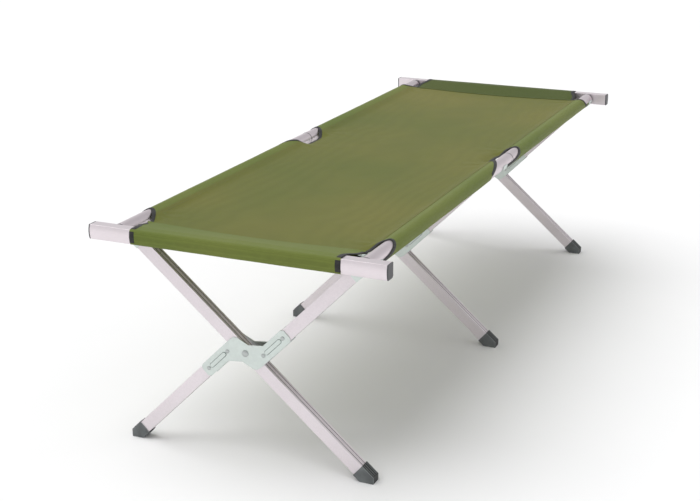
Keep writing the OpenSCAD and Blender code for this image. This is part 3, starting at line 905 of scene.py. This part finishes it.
def build_boot_ribs():
    """Three moulded ribs along each narrow side of every boot."""
    for side, name, angle, middle in ((1, "right", LEG_ANGLE, 0), (-1, "left", SPLIT_ANGLE, SPLIT_OFF)):
        cos, sin = math.cos(angle), math.sin(angle)
        verts, faces = [], []
        for where, sign, row in itertools.product(STATIONS.values(), (-1, 1), (-1, 0, 1)):
            reach = middle + sign * BOOT_HALF
            last = min((FOOT_X - reach * sin) / cos, (PIVOT_Z + reach * cos) / sin) - RIB_END_GAP
            first = len(verts)
            for lift, half, ease in ((-RIB_SINK, RIB_HALF, 0), (RIB_HEIGHT, RIB_HALF * 0.7, 0.001)):
                out = reach + sign * lift
                low, high = BOOT_FROM + ease, last - ease
                for s, y in ((low, -half), (low, half), (high, half), (high, -half)):
                    verts.append(Vector((side * (s * cos + out * sin), where + row * RIB_PITCH + y,
                                         PIVOT_Z - s * sin + out * cos)))
            faces += [tuple(first + k for k in quad) for quad in BOX_QUADS]
        body = "left_frame" if side > 0 else "right_frame"
        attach(new_object(f"boot_ribs_{name}", verts, faces, RIB, rounded_off=False), body)


def build_stitching():
    """Two rows of stitches along every sleeve's seam."""
    for side, body in SIDES.items():
        rows = []
        for low, high in ((SLEEVE_FOOT_Y + 0.004, slant(0) - 0.008),
                          (CUT_HEAD_Y + 0.004, SLEEVE_HEAD_Y - 0.004)):
            for d in SIDE_STITCHES:
                points = [(d, low)] + line((d, low), (d, high), 0.01) + [(d, high)]
                rows.append(surface_row(points, side_point, CLOTH / 2))
        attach(stitch_rows(f"stitches_{body[:-6]}", rows, side, 1), body)
    for end, body in ENDS.items():
        rows = []
        for s in END_STITCHES:
            left, right = (-END_STITCH_HALF, s), (END_STITCH_HALF, s)
            points = [left] + line(left, right, 0.01) + [right]
            rows.append(surface_row(points, end_point, CLOTH / 2))
        piece = stitch_rows(f"stitches_end_{body.split('_')[0]}", rows, 1, end)
        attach(piece, body)
        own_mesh(piece)


# ---- camera, floor and light ----
CAMERA_AT = (1.3717, -3.3836, 1.4448)
CAMERA_TURN = (22.872, 18.449, 0.078)
CAMERA_LENS = 69.31
CAMERA_SHIFT = (-0.03975, 0.0046)
SUN_FROM = (-0.34, -0.1, 0.9)
SUN_ENERGY = 1.85
SUN_ANGLE = 60
SKY_STRENGTH = 0.92
FLOOR_REACH = 30


def build_camera():
    """The camera: its place, and its azimuth, downward tilt and roll in degrees."""
    azimuth, elevation, roll = (math.radians(turn) for turn in CAMERA_TURN)
    level = math.cos(elevation)
    forward = Vector((-math.sin(azimuth) * level, math.cos(azimuth) * level, -math.sin(elevation)))
    right = Vector((math.cos(azimuth), math.sin(azimuth), 0))
    up = right.cross(forward)
    cos, sin = math.cos(roll), math.sin(roll)
    right, up = right * cos + up * sin, up * cos - right * sin
    camera = bpy.data.cameras.new("camera")
    camera.sensor_width = 36
    camera.lens = CAMERA_LENS
    camera.shift_x, camera.shift_y = CAMERA_SHIFT
    camera.clip_end = 100
    obj = bpy.data.objects.new("camera", camera)
    turned = Matrix((right, up, -forward)).transposed().to_4x4()
    obj.matrix_world = Matrix.Translation(CAMERA_AT) @ turned
    bpy.context.scene.collection.objects.link(obj)
    bpy.context.scene.camera = obj


def build_stage():
    """A plain pale floor, a plain sky and one soft sun."""
    m = Nodes("floor")
    grain = m.noise(3, 2)
    m.colour(m.ramp(grain.outputs["Fac"], [(0, (0.89, 0.89, 0.89)), (1, (0.91, 0.91, 0.91))]))
    m.set(Roughness=0.9, Specular_IOR_Level=0.1)
    corners = [(x * FLOOR_REACH, y * FLOOR_REACH, 0) for x, y in ((-1, -1), (1, -1), (1, 1), (-1, 1))]
    floor = new_object("floor", corners, [(0, 1, 2, 3)], m.material)
    world = bpy.data.worlds.new("studio")
    world.use_nodes = True
    tree = world.node_tree
    background = tree.nodes["Background"]
    place = tree.nodes.new("ShaderNodeTexCoord")
    split = tree.nodes.new("ShaderNodeSeparateXYZ")
    ramp = tree.nodes.new("ShaderNodeValToRGB")
    ramp.color_ramp.elements[0].position = 0.0
    ramp.color_ramp.elements[0].color = (1.0, 1.0, 1.0, 1)
    ramp.color_ramp.elements[1].position = 0.75
    ramp.color_ramp.elements[1].color = (0.6, 0.6, 0.61, 1)
    tree.links.new(place.outputs["Generated"], split.inputs[0])
    tree.links.new(split.outputs["Z"], ramp.inputs["Fac"])
    tree.links.new(ramp.outputs["Color"], background.inputs["Color"])
    background.inputs["Strength"].default_value = SKY_STRENGTH
    bpy.context.scene.world = world
    sun = bpy.data.lights.new("key", "SUN")
    sun.energy = SUN_ENERGY
    sun.angle = math.radians(SUN_ANGLE)
    key = bpy.data.objects.new("key", sun)
    key.rotation_euler = Vector(SUN_FROM).to_track_quat("Z", "Y").to_euler()
    bpy.context.scene.collection.objects.link(key)
    bpy.context.scene.view_settings.view_transform = "Standard"


build_camera()
build_stage()
finish_nodes()
build_panels()
build_side_sleeves()
build_end_sleeves()
build_bindings()
build_stitching()
build_rail_seams()
build_plate_shade_rings()
build_boot_ribs()
